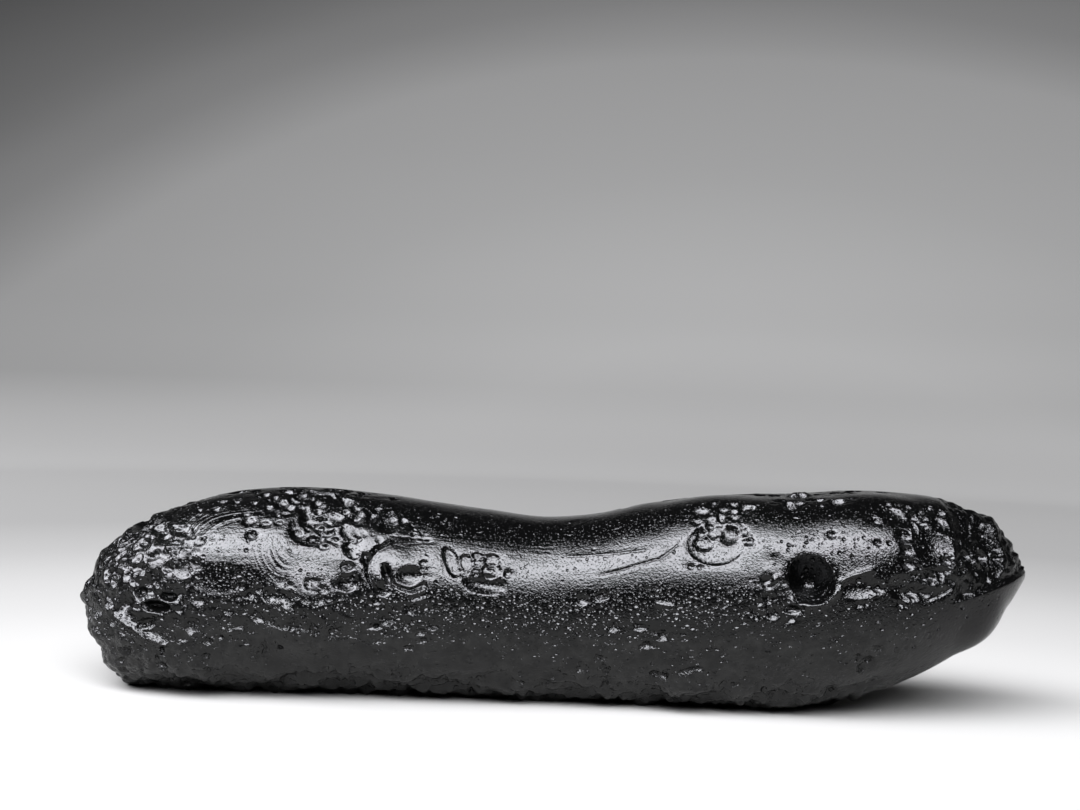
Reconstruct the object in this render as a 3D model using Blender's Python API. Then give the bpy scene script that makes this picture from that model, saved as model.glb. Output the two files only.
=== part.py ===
"""A tektite: a long splash-form rod of black natural glass, lying on its side.

The rod runs along X with its blunt, rough end at -X and its pointed, broken end at +X. The front is -Y.
The body is a loft through sections along the length. Swellings, bubble pits, the lumps of the skin and
the rough ends are then pressed into that loft. Lengths are in millimetres and turns round the rod in
degrees, and the mesh is made in metres. A turn of 0 is the front, 90 the top and 180 the back.
"""

import math

import bpy
import numpy as np

MM = 0.001
LENGTH = 99.8  # tip to tip, before the skin's lumps

# Sections along the rod: place along the length, top, underside, reach to the front and reach to the back.
SECTIONS = (
    (-49.9, 9.4, 9.4, 0.2, 0.2),
    (-48.6, 11.6, 6.4, 4.2, 4.2),
    (-47.1, 13.9, 3.4, 6.8, 6.2),
    (-45.3, 15.9, 1.0, 8.7, 7.8),
    (-43.0, 17.5, -0.1, 9.9, 8.8),
    (-39.2, 18.9, -0.4, 10.9, 9.8),
    (-35.0, 20.0, -0.3, 11.4, 10.6),
    (-30.8, 20.6, -0.3, 11.5, 11.2),
    (-24.5, 20.8, -0.3, 11.3, 11.7),
    (-16.7, 20.3, -0.2, 10.8, 11.7),
    (-8.0, 19.4, -0.2, 10.2, 11.3),
    (-0.5, 18.8, -0.3, 9.9, 11.0),
    (4.4, 19.4, -0.3, 10.2, 11.1),
    (9.4, 20.7, -0.3, 10.7, 11.4),
    (14.1, 21.5, -0.4, 11.2, 11.6),
    (18.2, 21.8, -0.4, 11.6, 11.4),
    (24.5, 22.1, -0.1, 11.9, 10.8),
    (30.2, 22.7, 1.0, 11.7, 10.0),
    (34.9, 22.8, 2.2, 11.0, 9.0),
    (40.8, 22.4, 5.1, 9.2, 7.4),
    (44.7, 21.0, 8.0, 7.2, 5.6),
    (47.3, 19.0, 10.6, 5.0, 3.6),
    (48.7, 17.0, 12.6, 3.2, 2.2),
    (49.9, 14.4, 14.4, 0.0, 0.0),
)
SQUARENESS = 2.2  # exponent of each section: 2 is an ellipse, more is boxier
BELLY = 0.5  # height of the widest place, as a share of each section

# The mesh before it is thinned: cells along the side, cells round a quarter of it, and the share of the
# length's half turn that each end cap takes.
CELLS_ALONG = 230
CELLS_PER_QUARTER = 36
CAP_SHARE = 0.09
TRIANGLES = 9200
REST = 0.03  # what is left within this height of the surface is flat on it

# Single pits: place along the length, turn, diameter and depth.
PITS = (
    (25.1, 16, 5.6, 3.0),
    (37.5, 27, 3.4, 1.2),
    (34.6, 20, 2.6, 0.8),
    (34.9, 39, 2.6, 0.8),
    (-16.2, 15, 3.4, 1.1),
    (-20.7, 9, 2.0, 0.9),
    (-13.3, 27, 1.8, 0.6),
    (-22.1, -12, 2.6, 0.7),
    (-38.8, 0, 4.0, 1.0),
    (-39.8, 47, 2.2, 0.8),
    (-44.5, -5, 2.6, 0.9),
    (16.6, 33, 5.4, 0.9),
    (-30.5, 150, 5.0, 1.5),
    (12.0, 168, 6.0, 2.2),
    (-6.0, 196, 3.6, 1.0),
    (31.0, 158, 3.6, 1.2),
    (20.0, 92, 3.0, 0.8),
    (-14.0, 100, 3.4, 0.8),
)

# Patches of many small pits: middle along the length, middle turn, half length, half turn, how many, and
# the smallest and largest diameter.
PIT_PATCHES = (
    (-8.0, 27, 3.2, 13, 16, 1.2, 2.0),
    (-21.5, 32, 4.6, 22, 34, 1.2, 2.2),
    (16.6, 42, 3.0, 12, 14, 1.2, 2.2),
    (36.0, 30, 4.6, 26, 26, 1.4, 2.8),
    (22.4, 6, 2.0, 14, 12, 1.2, 1.8),
    (-24.0, -10, 8.0, 14, 34, 1.2, 2.2),
    (-40.0, 10, 6.0, 50, 60, 1.3, 2.8),
    (-36.0, 170, 9.0, 55, 50, 1.4, 3.2),
    (-8.0, 160, 10.0, 26, 26, 1.4, 2.6),
    (24.0, 190, 9.0, 34, 36, 1.4, 3.0),
    (8.0, 112, 10.0, 20, 24, 1.2, 2.4),
    (0.0, 262, 30.0, 24, 60, 1.4, 3.0),
)
PATCH_SEED = 100  # of the first patch; each patch has its own
PIT_DEPTH = 0.24  # of a small pit, as a share of its diameter
LIP_HEIGHT = 0.08  # of a pit's raised lip, as a share of its radius
LIP_WIDTH = 0.16  # of that lip, as a share of the radius
LIP_REACH = 1.8  # past which a lip is too low to count, in radii

# Swellings on the lower front: place along the length, turn, width and how far they stand.
SWELLINGS = (
    (13.5, -40, 9.0, 0.7),
    (18.5, -52, 6.0, 0.6),
    (29.5, -36, 8.0, 0.5),
    (-37.0, -30, 9.0, 0.6),
    (-44.0, -28, 6.0, 0.5),
    (4.0, 215, 10.0, 0.7),
    (-27.0, 128, 8.0, 0.5),
)

# Lumps all over, coarse to fine: size of a lump and how far it stands.
SKIN = ((11.0, 0.3), (4.2, 0.15), (2.0, 0.06))
SKIN_SEED = 0
# The rough ends: size of a lump and how far it stands there.
BROKEN = ((3.4, 0.6), (1.7, 0.45))
BROKEN_SEED = 10
ROUGH_LEFT = (-33.0, -43.0)  # the roughness grows from the first place to the second
ROUGH_RIGHT = (37.5, 43.0)
# The break at the right end stops at a ledge over the smooth lower flank, which rises towards the tip.
LEDGE_START = (33.0, 10.6)  # along the length, and height
LEDGE_SLOPE = 0.26
LEDGE_RISE = 0.8  # the height over which the drop takes place
LEDGE_DROP = 0.55  # how far the break lies inside the flank

def smooth_through(knots, values, at):
    """A smooth curve through the values at the knots, read at each place."""
    gaps = np.diff(knots)
    rises = np.diff(values) / gaps
    slopes = np.empty(len(knots))
    slopes[1:-1] = (rises[:-1] * gaps[1:] + rises[1:] * gaps[:-1]) / (gaps[:-1] + gaps[1:])
    slopes[0] = rises[0]
    slopes[-1] = rises[-1]
    span = np.clip(np.searchsorted(knots, at) - 1, 0, len(gaps) - 1)
    gap = gaps[span]
    u = (at - knots[span]) / gap
    keep = (2 * u**3 - 3 * u**2 + 1) * values[span] + (3 * u**2 - 2 * u**3) * values[span + 1]
    return keep + gap * ((u**3 - 2 * u**2 + u) * slopes[span] + (u**3 - u**2) * slopes[span + 1])


def share_of(along):
    """Share of the way from tip to tip, spaced so that both ends close round."""
    return np.arccos(np.clip(-2 * along / LENGTH, -1, 1)) / math.pi


def loft(share, turn):
    """Points of the plain rod, in millimetres, at shares of its length and turns in radians."""
    table = np.array(SECTIONS)
    knots = share_of(table[:, 0])
    top, under, front, back = (smooth_through(knots, table[:, i], share) for i in range(1, 5))
    middle = under + BELLY * (top - under)
    across = np.abs(np.cos(turn)) ** (2 / SQUARENESS)
    up = np.abs(np.sin(turn)) ** (2 / SQUARENESS)
    x = -LENGTH / 2 * np.cos(math.pi * share)
    y = np.where(np.cos(turn) > 0, -front, back) * across
    z = middle + np.where(np.sin(turn) > 0, top - middle, under - middle) * up
    return np.stack([x, y, z], axis=-1)


def cap_grid(cells):
    """Rings (0 at the tip, 1 at the rim) and turns of a square grid of points that fills an end cap."""
    steps = np.linspace(-1, 1, cells + 1)
    a, b = np.meshgrid(steps, steps, indexing="ij")
    ring = np.maximum(np.abs(a), np.abs(b))
    safe = np.where(ring > 0, ring, 1)
    quarter = np.select([(a >= np.abs(b)), (b >= np.abs(a)), (-a >= np.abs(b))], [0, 1, 2], 3)
    slide = np.select([quarter == 0, quarter == 1, quarter == 2], [b, -a, -b], a) / safe
    return ring, (quarter + slide / 2) * math.pi / 2


def rod_grid(cells_along, cells_per_quarter, cap_share):
    """Shares, turns and quads of the whole closed rod: a tube with a square grid over each end."""
    around = 4 * cells_per_quarter
    rows = np.linspace(cap_share, 1 - cap_share, cells_along + 1)
    columns = np.arange(around) / around * 2 * math.pi - math.pi / 4
    shares = np.repeat(rows, around)
    turns = np.tile(columns, len(rows))
    index = np.arange(len(shares)).reshape(len(rows), around)
    here = index[:-1]
    there = index[1:]
    quads = [np.stack([here, there, np.roll(there, -1, 1), np.roll(here, -1, 1)], -1).reshape(-1, 4)]
    ring, turn = cap_grid(cells_per_quarter)
    inner = ring < 1 - 1e-9
    column = np.round((turn + math.pi / 4) / (2 * math.pi) * around).astype(int) % around
    for at_start in (True, False):
        rim = index[0] if at_start else index[-1]
        ids = np.where(inner, 0, rim[column])
        ids[inner] = len(shares) + np.arange(inner.sum())
        share = cap_share * ring[inner]
        shares = np.concatenate([shares, share if at_start else 1 - share])
        turns = np.concatenate([turns, turn[inner]])
        cells = np.stack([ids[:-1, :-1], ids[1:, :-1], ids[1:, 1:], ids[:-1, 1:]], -1).reshape(-1, 4)
        quads.append(cells if at_start else cells[:, ::-1])
    return shares, turns, np.concatenate(quads)


def falloff(value, start, end):
    """0 at start and 1 at end, smoothly."""
    u = np.clip((value - start) / (end - start), 0, 1)
    return u * u * (3 - 2 * u)


def lumps(points, size, seed):
    """Smooth noise from -1 to 1, with lumps about as wide as the size."""
    rng = np.random.default_rng(seed)
    order = rng.permutation(256)
    heights = rng.uniform(-1, 1, 256)
    cell = np.floor(points / size).astype(int)
    blend = falloff(points / size - cell, 0, 1)
    total = np.zeros(len(points))
    for corner in np.ndindex(2, 2, 2):
        x, y, z = ((cell + corner) % 256).T
        weight = np.where(corner, blend, 1 - blend).prod(axis=1)
        total += weight * heights[order[(order[(order[x] + y) % 256] + z) % 256]]
    return total


def all_pits():
    """Every pit as its middle on the plain rod, its radius and its depth."""
    places = [row[:2] for row in PITS]
    sizes = [(row[2] / 2, row[3]) for row in PITS]
    for number, (along, turn, half_length, half_turn, count, least, most) in enumerate(PIT_PATCHES):
        rng = np.random.default_rng(PATCH_SEED + number)
        spread = rng.normal(0, 0.5, (count, 2)).clip(-1, 1)
        widths = rng.uniform(least, most, count)
        places += [(along + half_length * s, turn + half_turn * t) for s, t in spread]
        sizes += [(width / 2, width * PIT_DEPTH) for width in widths]
    places = np.array(places)
    middles = loft(share_of(places[:, 0]), np.radians(places[:, 1]))
    return middles, np.array(sizes)


def pitting(points):
    """How far each point moves out for the pits: bowls with sharp edges between them, and raised lips."""
    bowls = np.zeros(len(points))
    lips = np.zeros(len(points))
    for middle, (radius, depth) in zip(*all_pits()):
        near = np.flatnonzero(np.abs(points[:, 0] - middle[0]) < LIP_REACH * radius)
        reach = np.linalg.norm(points[near] - middle, axis=1) / radius
        bowls[near] = np.minimum(bowls[near], -depth * np.clip(1 - reach**2, 0, None))
        lip = radius * LIP_HEIGHT * np.exp(-(((reach - 1) / LIP_WIDTH) ** 2))
        lips[near] = np.maximum(lips[near], lip)
    return bowls + lips


def swelling(points):
    """How far each point moves out for the swellings."""
    move = np.zeros(len(points))
    for along, turn, width, stand in SWELLINGS:
        middle = loft(share_of(np.array(along)), np.radians(turn))
        reach = np.linalg.norm(points - middle, axis=1) / (width / 2)
        move += stand * np.clip(1 - reach**2, 0, None) ** 2
    return move


def relief(points):
    """How far each point of the plain rod moves out."""
    along = points[:, 0]
    height = points[:, 2]
    move = sum(stand * lumps(points, size, SKIN_SEED + i) for i, (size, stand) in enumerate(SKIN))
    left = falloff(along, *ROUGH_LEFT)
    above_ledge = height - LEDGE_START[1] - LEDGE_SLOPE * (along - LEDGE_START[0])
    right = falloff(along, *ROUGH_RIGHT) * falloff(above_ledge, 0, LEDGE_RISE)
    for i, (size, stand) in enumerate(BROKEN):
        move += stand * np.maximum(left, right) * lumps(points, size, BROKEN_SEED + i)
    return move - LEDGE_DROP * right + swelling(points) + pitting(points)


def outward(points, quads):
    """Unit normals of the plain rod's points."""
    corners = points[quads]
    faces = np.cross(corners[:, 2] - corners[:, 0], corners[:, 3] - corners[:, 1])
    normals = np.zeros_like(points)
    for column in range(4):
        np.add.at(normals, quads[:, column], faces)
    return normals / np.linalg.norm(normals, axis=1, keepdims=True)


def glass():
    """Black natural glass with a satin skin."""
    material = bpy.data.materials.new("black glass")
    material.use_nodes = True
    shader = material.node_tree.nodes["Principled BSDF"]
    shader.inputs["Base Color"].default_value = (0.006, 0.006, 0.007, 1.0)
    shader.inputs["Roughness"].default_value = 0.32
    shader.inputs["IOR"].default_value = 1.5
    return material


def thinned(body, triangles):
    """The object's mesh, reduced to about so many triangles where it is smoothest."""
    body.data.calc_loop_triangles()
    thin = body.modifiers.new("Thin", "DECIMATE")
    thin.ratio = triangles / len(body.data.loop_triangles)
    thin.use_collapse_triangulate = True
    graph = bpy.context.evaluated_depsgraph_get()
    mesh = bpy.data.meshes.new_from_object(body.evaluated_get(graph))
    body.modifiers.clear()
    return mesh


def build():
    for old in list(bpy.data.objects):
        bpy.data.objects.remove(old)
    shares, turns, quads = rod_grid(CELLS_ALONG, CELLS_PER_QUARTER, CAP_SHARE)
    plain = loft(shares, turns)
    points = plain + outward(plain, quads) * relief(plain)[:, None]
    points[:, 2] = np.maximum(points[:, 2], 0)  # it lies on small worn flats
    mesh = bpy.data.meshes.new("tektite")
    mesh.from_pydata((points * MM).tolist(), [], quads.tolist())
    mesh.materials.append(glass())
    body = bpy.data.objects.new("tektite", mesh)
    bpy.context.collection.objects.link(body)
    body.data = thinned(body, TRIANGLES)
    for vertex in body.data.vertices:
        if vertex.co.z < REST * MM:
            vertex.co.z = 0
    body.data.shade_smooth()


build()
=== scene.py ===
"""A tektite dressed for rendering: the fine skin of a splash-form rod of black natural glass.

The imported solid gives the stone's place, size and main forms. This script makes the same loft finer, adds
the relief that the solid is too coarse for, and gives it the material of etched natural glass. Lengths in
the shape tables are in millimetres and turns round the rod in degrees: 0 is the front, 90 the top, 180 the
back. Meshes, sockets and properties are in metres.
"""

import math

import bpy
import numpy as np
from bpy.props import FloatProperty, FloatVectorProperty, IntProperty, PointerProperty
from mathutils import Matrix, Vector


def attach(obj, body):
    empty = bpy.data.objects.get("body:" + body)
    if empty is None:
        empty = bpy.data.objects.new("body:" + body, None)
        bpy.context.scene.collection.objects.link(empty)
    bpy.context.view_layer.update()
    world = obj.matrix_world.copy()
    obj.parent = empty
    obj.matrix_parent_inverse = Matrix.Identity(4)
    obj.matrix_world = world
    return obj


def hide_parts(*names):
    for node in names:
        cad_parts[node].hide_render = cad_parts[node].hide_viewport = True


bl_info = {
    "name": "Tektite",
    "version": (1, 0, 0),
    "blender": (4, 5, 0),
    "location": "View3D > Sidebar > Tektite",
    "description": "Builds a rod of black natural glass and the plain studio it lies in",
    "category": "Add Mesh",
}

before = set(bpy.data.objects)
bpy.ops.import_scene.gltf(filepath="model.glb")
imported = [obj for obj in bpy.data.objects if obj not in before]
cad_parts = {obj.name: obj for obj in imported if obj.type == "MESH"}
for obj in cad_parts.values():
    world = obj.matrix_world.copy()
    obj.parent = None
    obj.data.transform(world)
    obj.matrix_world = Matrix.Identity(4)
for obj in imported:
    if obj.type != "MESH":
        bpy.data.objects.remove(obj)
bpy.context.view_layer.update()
MM = 0.001  # metres

# ---------------------------------------------------------------------------------------------------------
# The rod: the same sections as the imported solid's
# ---------------------------------------------------------------------------------------------------------

LENGTH = 99.8  # tip to tip, before the skin's lumps
# Sections along the rod: place along the length, top, underside, reach to the front and reach to the back.
SECTIONS = (
    (-49.9, 9.4, 9.4, 0.2, 0.2),
    (-48.6, 11.6, 6.4, 4.2, 4.2),
    (-47.1, 13.9, 3.4, 6.8, 6.2),
    (-45.3, 15.9, 1.0, 8.7, 7.8),
    (-43.0, 17.5, -0.1, 9.9, 8.8),
    (-39.2, 18.9, -0.4, 10.9, 9.8),
    (-35.0, 20.0, -0.3, 11.4, 10.6),
    (-30.8, 20.6, -0.3, 11.5, 11.2),
    (-24.5, 20.8, -0.3, 11.3, 11.7),
    (-16.7, 20.3, -0.2, 10.8, 11.7),
    (-8.0, 19.4, -0.2, 10.2, 11.3),
    (-0.5, 18.8, -0.3, 9.9, 11.0),
    (4.4, 19.4, -0.3, 10.2, 11.1),
    (9.4, 20.7, -0.3, 10.7, 11.4),
    (14.1, 21.5, -0.4, 11.2, 11.6),
    (18.2, 21.8, -0.4, 11.6, 11.4),
    (24.5, 22.1, -0.1, 11.9, 10.8),
    (30.2, 22.7, 1.0, 11.7, 10.0),
    (34.9, 22.8, 2.2, 11.0, 9.0),
    (40.8, 22.4, 5.1, 9.2, 7.4),
    (44.7, 21.0, 8.0, 7.2, 5.6),
    (47.3, 19.0, 10.6, 5.0, 3.6),
    (48.7, 17.0, 12.6, 3.2, 2.2),
    (49.9, 14.4, 14.4, 0.0, 0.0),
)
SQUARENESS = 2.2  # exponent of each section: 2 is an ellipse, more is boxier
BELLY = 0.5  # height of the widest place, as a share of each section
CROWD = 0.35  # how much closer the mesh's rows lie at the front than on average
CROWD_TURN = 0.3  # the turn in radians where they lie closest
GIRTH = 0.19  # millimetres round the skin for each degree of turn, on the rod's usual section
LUMP_HEIGHTS = 256  # how many heights the noise of the skin's lumps draws from


def smooth_through(knots, values, at):
    """A smooth curve through the values at the knots, read at each place."""
    gaps = np.diff(knots)
    rises = np.diff(values) / gaps
    slopes = np.empty(len(knots))
    slopes[1:-1] = (rises[:-1] * gaps[1:] + rises[1:] * gaps[:-1]) / (gaps[:-1] + gaps[1:])
    slopes[0] = rises[0]
    slopes[-1] = rises[-1]
    span = np.clip(np.searchsorted(knots, at) - 1, 0, len(gaps) - 1)
    gap = gaps[span]
    u = (at - knots[span]) / gap
    keep = (2 * u**3 - 3 * u**2 + 1) * values[span] + (3 * u**2 - 2 * u**3) * values[span + 1]
    return keep + gap * ((u**3 - 2 * u**2 + u) * slopes[span] + (u**3 - u**2) * slopes[span + 1])


def share_of(along):
    """Share of the way from tip to tip, spaced so that both ends close round."""
    return np.arccos(np.clip(-2 * along / LENGTH, -1, 1)) / math.pi


def loft(share, turn):
    """Points of the plain rod, in millimetres, at shares of its length and turns in radians."""
    table = np.array(SECTIONS)
    knots = share_of(table[:, 0])
    top, under, front, back = (smooth_through(knots, table[:, i], share) for i in range(1, 5))
    middle = under + BELLY * (top - under)
    across = np.abs(np.cos(turn)) ** (2 / SQUARENESS)
    up = np.abs(np.sin(turn)) ** (2 / SQUARENESS)
    x = -LENGTH / 2 * np.cos(math.pi * share)
    y = np.where(np.cos(turn) > 0, -front, back) * across
    z = middle + np.where(np.sin(turn) > 0, top - middle, under - middle) * up
    return np.stack([x, y, z], axis=-1)


def cap_grid(cells):
    """Rings (0 at the tip, 1 at the rim) and turns of a square grid of points that fills an end cap."""
    steps = np.linspace(-1, 1, cells + 1)
    a, b = np.meshgrid(steps, steps, indexing="ij")
    ring = np.maximum(np.abs(a), np.abs(b))
    safe = np.where(ring > 0, ring, 1)
    quarter = np.select([(a >= np.abs(b)), (b >= np.abs(a)), (-a >= np.abs(b))], [0, 1, 2], 3)
    slide = np.select([quarter == 0, quarter == 1, quarter == 2], [b, -a, -b], a) / safe
    return ring, (quarter + slide / 2) * math.pi / 2


def crowded(turns):
    """Turns in radians drawn together towards the front."""
    return turns - CROWD * np.sin(turns - CROWD_TURN)


def rod_grid(cells_along, cells_per_quarter, cap_share):
    """Shares, turns and quads of the whole closed rod: a tube with a square grid over each end."""
    around = 4 * cells_per_quarter
    rows = np.linspace(cap_share, 1 - cap_share, cells_along + 1)
    columns = np.arange(around) / around * 2 * math.pi - math.pi / 4
    shares = np.repeat(rows, around)
    turns = np.tile(columns, len(rows))
    index = np.arange(len(shares)).reshape(len(rows), around)
    here = index[:-1]
    there = index[1:]
    quads = [np.stack([here, there, np.roll(there, -1, 1), np.roll(here, -1, 1)], -1).reshape(-1, 4)]
    ring, turn = cap_grid(cells_per_quarter)
    inner = ring < 1
    column = np.round((turn + math.pi / 4) / (2 * math.pi) * around).astype(int) % around
    for at_start in (True, False):
        rim = index[0] if at_start else index[-1]
        ids = np.where(inner, 0, rim[column])
        ids[inner] = len(shares) + np.arange(inner.sum())
        share = cap_share * ring[inner]
        shares = np.concatenate([shares, share if at_start else 1 - share])
        turns = np.concatenate([turns, turn[inner]])
        cells = np.stack([ids[:-1, :-1], ids[1:, :-1], ids[1:, 1:], ids[:-1, 1:]], -1).reshape(-1, 4)
        quads.append(cells if at_start else cells[:, ::-1])
    return shares, crowded(turns), np.concatenate(quads)


def falloff(value, start, end):
    """0 at start and 1 at end, smoothly."""
    u = np.clip((value - start) / (end - start), 0, 1)
    return u * u * (3 - 2 * u)


def lumps(points, size, seed):
    """Smooth noise from -1 to 1, with lumps about as wide as the size. It seldom passes a half."""
    rng = np.random.default_rng(seed)
    order = rng.permutation(LUMP_HEIGHTS)
    heights = rng.uniform(-1, 1, LUMP_HEIGHTS)
    cell = np.floor(points / size).astype(int)
    blend = falloff(points / size - cell, 0, 1)
    total = np.zeros(len(points))
    for corner in np.ndindex(2, 2, 2):
        x, y, z = ((cell + corner) % LUMP_HEIGHTS).T
        weight = np.where(corner, blend, 1 - blend).prod(axis=1)
        total += weight * heights[order[(order[(order[x] + y) % LUMP_HEIGHTS] + z) % LUMP_HEIGHTS]]
    return total


# ---------------------------------------------------------------------------------------------------------
# Relief: everything that is pressed into the plain rod or stands out of it
# ---------------------------------------------------------------------------------------------------------

# Lumps all over, coarse to fine: size of a lump and how far it stands.
SKIN = ((11.0, 0.22), (4.2, 0.06), (2.0, 0.02))
SKIN_SEED = 0
# The rough ends and the worn underside: size of a lump, and how far it stands at the blunt end, at the
# pointed end and underneath, with sharp creases between the lumps.
HACKLE = ((3.2, 0.2, 0.16, 0.6), (1.5, 0.16, 0.16, 0.3), (0.8, 0.12, 0.13, 0.2))
HACKLE_SEED = 10
# Each pair below is where something begins and where it is whole, in millimetres or in degrees of turn.
ROUGH_LEFT = (-33.0, -43.0)  # the rough blunt end, along the rod
ROUGH_RIGHT = (39.6, 40.8)  # the rough pointed end
UNDERSIDE = (5.5, 2.0)  # the worn underside, by height
UNDERSIDE_SHARE = 0.8  # how rough the underside is beside the ends
SMOOTH_FOOT = (30.0, 38.0)  # along the rod, where the underside gives way to the smooth flank
BLUNT_LOW = (8.8, 7.2)  # the worn lower part of the blunt end, by height, at BLUNT_PLACE
BLUNT_PLACE = -45.0
BLUNT_SLOPE = 0.45  # how much lower it begins for each millimetre to the right
# The break at the right end stops at a ledge over the smooth lower flank, which rises towards the tip.
LEDGE_START = (33.0, 10.6)  # along the length, and height
LEDGE_SLOPE = 0.26
LEDGE_RISE = 0.5
LEDGE_DROP = 0.55  # how far the break lies inside the flank
LEDGE_TOP = (45.0, 65.0)  # turns over which that eases off towards the top
LEDGE_EASE = 0.6

# Where the skin is worn matt: how matt it is at the blunt end's upper part beside its lower one, on the lower
# flank, and underneath.
MATT_UPPER = 0.15
MATT_FLANK = 0.6
MATT_UNDERSIDE = 0.3
MATT_FOOT = (1.5, 4.0)  # heights over which the blunt end turns matt
FLANK_FROM = (-2.0, -14.0)  # turns where the flank begins, and where it ends underneath
FLANK_TO = (-85.0, -62.0)
FLANK_END = (36.0, 42.0)  # along the rod, where it ends

# How steep the froth's walls are, how much less on the etched upper front, and how much more over the top.
STEEP = 1.2
STEEP_EASE = 0.25
EASE_FROM = (2.0, 22.0)
EASE_TO = (56.0, 46.0)
STEEP_MORE = 0.75
MORE_FROM = (48.0, 58.0)

# Swellings: place along the length, turn, width and how far they stand.
SWELLINGS = (
    (13.5, -40, 9.0, 0.7),
    (18.5, -52, 6.0, 0.6),
    (29.5, -36, 8.0, 0.5),
    (-37.0, -30, 9.0, 0.6),
    (-44.5, -60, 9.0, 0.45),
    (4.0, 215, 10.0, 0.7),
    (-27.0, 128, 8.0, 0.5),
    (45.6, 80, 3.6, 0.5),
    (25.4, 84, 3.0, 0.45),
    (-25.0, -4, 11.0, 1.0),
    (16.0, 62, 15.0, 0.5),
    (24.0, 50, 15.0, 0.65),
    (32.0, 50, 15.0, 0.65),
    (-47.2, 66, 6.0, 0.7),
    (44.0, -45, 9.0, 0.8),
)

# Wide hollows: place along the length, turn, length, width, depth, flatness, and a tilt in degrees where
# there is one. A flatness of 2 is a bowl, and more gives a flat floor with a steep wall. The first is the
# deep one.
HOLLOWS = (
    (25.2, 16.5, 4.7, 5.0, 3.0, 2.2),
    (15.8, 37, 5.9, 4.8, 0.34, 9),
    (-24.9, 42, 4.8, 4.2, 0.4, 5),
    (37.6, 28.5, 4.6, 4.2, 0.65, 2.2),
    (34.5, 7, 3.4, 2.8, 0.5, 2.4),
    (43.7, 31, 7.2, 8.0, 0.9, 4, -12),
    (-39.8, 1.2, 3.0, 1.3, 1.3, 2.4),
    (-38.6, 5.5, 1.8, 1.1, 0.9, 2.4),
    (-33.5, 12, 6.0, 3.4, 0.22, 3),
    (-43.5, 80, 2.4, 6.5, 1.3, 2.2),
    (30.0, 10, 4.4, 2.4, 0.35, 2.4, 8),
    (-30.5, 150, 5.0, 4.6, 1.5, 2.4),
    (12.0, 168, 6.0, 5.6, 2.2, 2.4),
    (-6.0, 196, 3.6, 3.6, 1.0, 2.4),
    (31.0, 158, 3.6, 3.6, 1.2, 2.4),
    (20.0, 92, 3.0, 3.0, 0.8, 2.4),
    (-14.0, 100, 3.4, 3.0, 0.8, 2.4),
)

NEAR = 0.55  # how far from its middle a hollow is worked out, as a share of its size
OUTLINE_WIDTH = 0.13  # half the width of the groove round a bubble
OUTLINE_PLACE = 0.97  # and how far out it runs, as a share of the bubble
RAFT_OUTLINE = 0.55  # the groove's depth in the raft, and elsewhere, as shares of the bubble's
BUBBLE_OUTLINE = 0.12

# The raft of burst bubbles at the waist, as above.
RAFT = (
    (-10.6, 28.8, 1.25, 3.3, 0.3, 7, 24),
    (-9.15, 29, 1.2, 1.7, 0.24, 7, 22),
    (-8.1, 34.2, 1.0, 0.75, 0.17, 7),
    (-8.05, 29.3, 0.95, 0.95, 0.2, 7),
    (-9.3, 22.6, 1.05, 0.75, 0.2, 7),
    (-8.15, 23.6, 0.85, 0.7, 0.18, 7),
    (-7.3, 34.6, 0.45, 0.45, 0.14, 7),
    (-7.25, 31, 0.45, 0.5, 0.14, 7),
    (-6.55, 32.2, 1.35, 1.5, 0.26, 7),
    (-6.6, 25.4, 1.9, 1.5, 0.26, 7),
    (-4.9, 24.6, 0.8, 0.8, 0.15, 7),
)

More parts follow.
